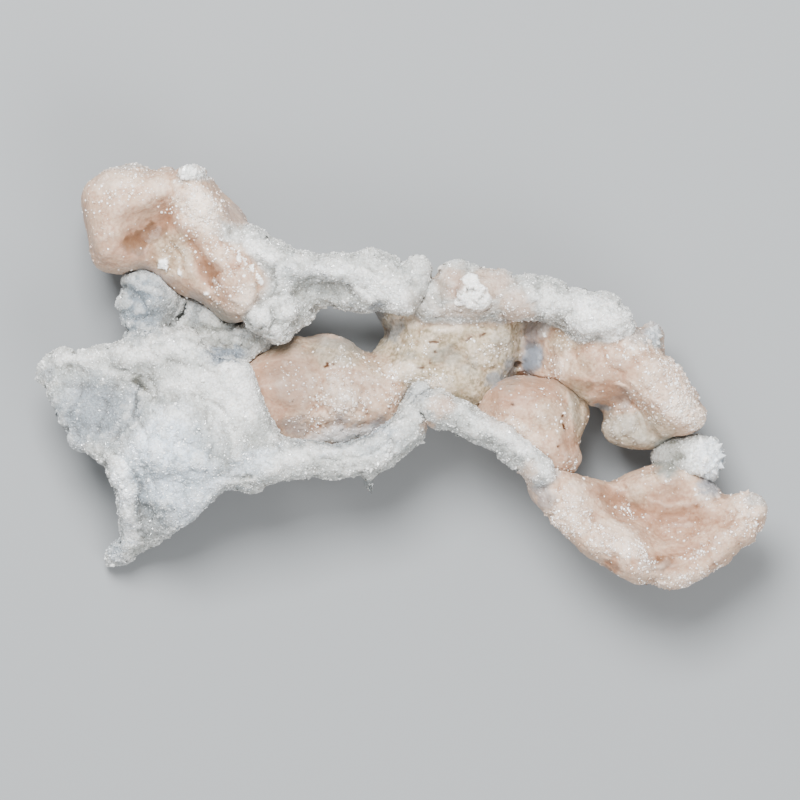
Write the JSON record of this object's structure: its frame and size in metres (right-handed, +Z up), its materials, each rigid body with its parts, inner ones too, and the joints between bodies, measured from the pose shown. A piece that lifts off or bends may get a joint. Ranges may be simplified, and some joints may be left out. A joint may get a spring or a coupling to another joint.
{
  "type": "quartz stalactite specimen on chalcedony",
  "caption": "Open branching specimen of drusy quartz crusts, rails and a stalactite grown over pink chalcedony lumps and cream matrix, lying on its flat broken back.",
  "frame": {"origin": "on the surface that the specimen lies on, under the middle of its box", "axes": "+X along the specimen, from the wide quartz sheet to the chalcedony fan; +Y across it, towards the knob; +Z up from the flat broken faces it lies on"},
  "size_m": [0.22, 0.128, 0.0542],
  "materials": {
    "quartz": "drusy, sugar-fine sparkling crystals",
    "chalcedony": "waxy, smooth lumps with scattered sparkle",
    "matrix": "dull and rough, with brown streaks"
  },
  "bodies": {
    "root": {"chalcedony_knob": "chalcedony", "chalcedony_lump": "chalcedony", "right_chalcedony_knob": "chalcedony", "chalcedony_shoulder": "chalcedony", "chalcedony_fan": "chalcedony", "grey_lobe": "chalcedony", "matrix_block": "matrix", "quartz_sheet": "quartz", "quartz_stem": "quartz", "quartz_wall": "quartz", "upper_bridge": "quartz", "upper_ledge": "quartz", "slanting_rail": "quartz", "lower_rail": "quartz", "quartz_stalactite": "quartz"}
  },
  "joints": []
}
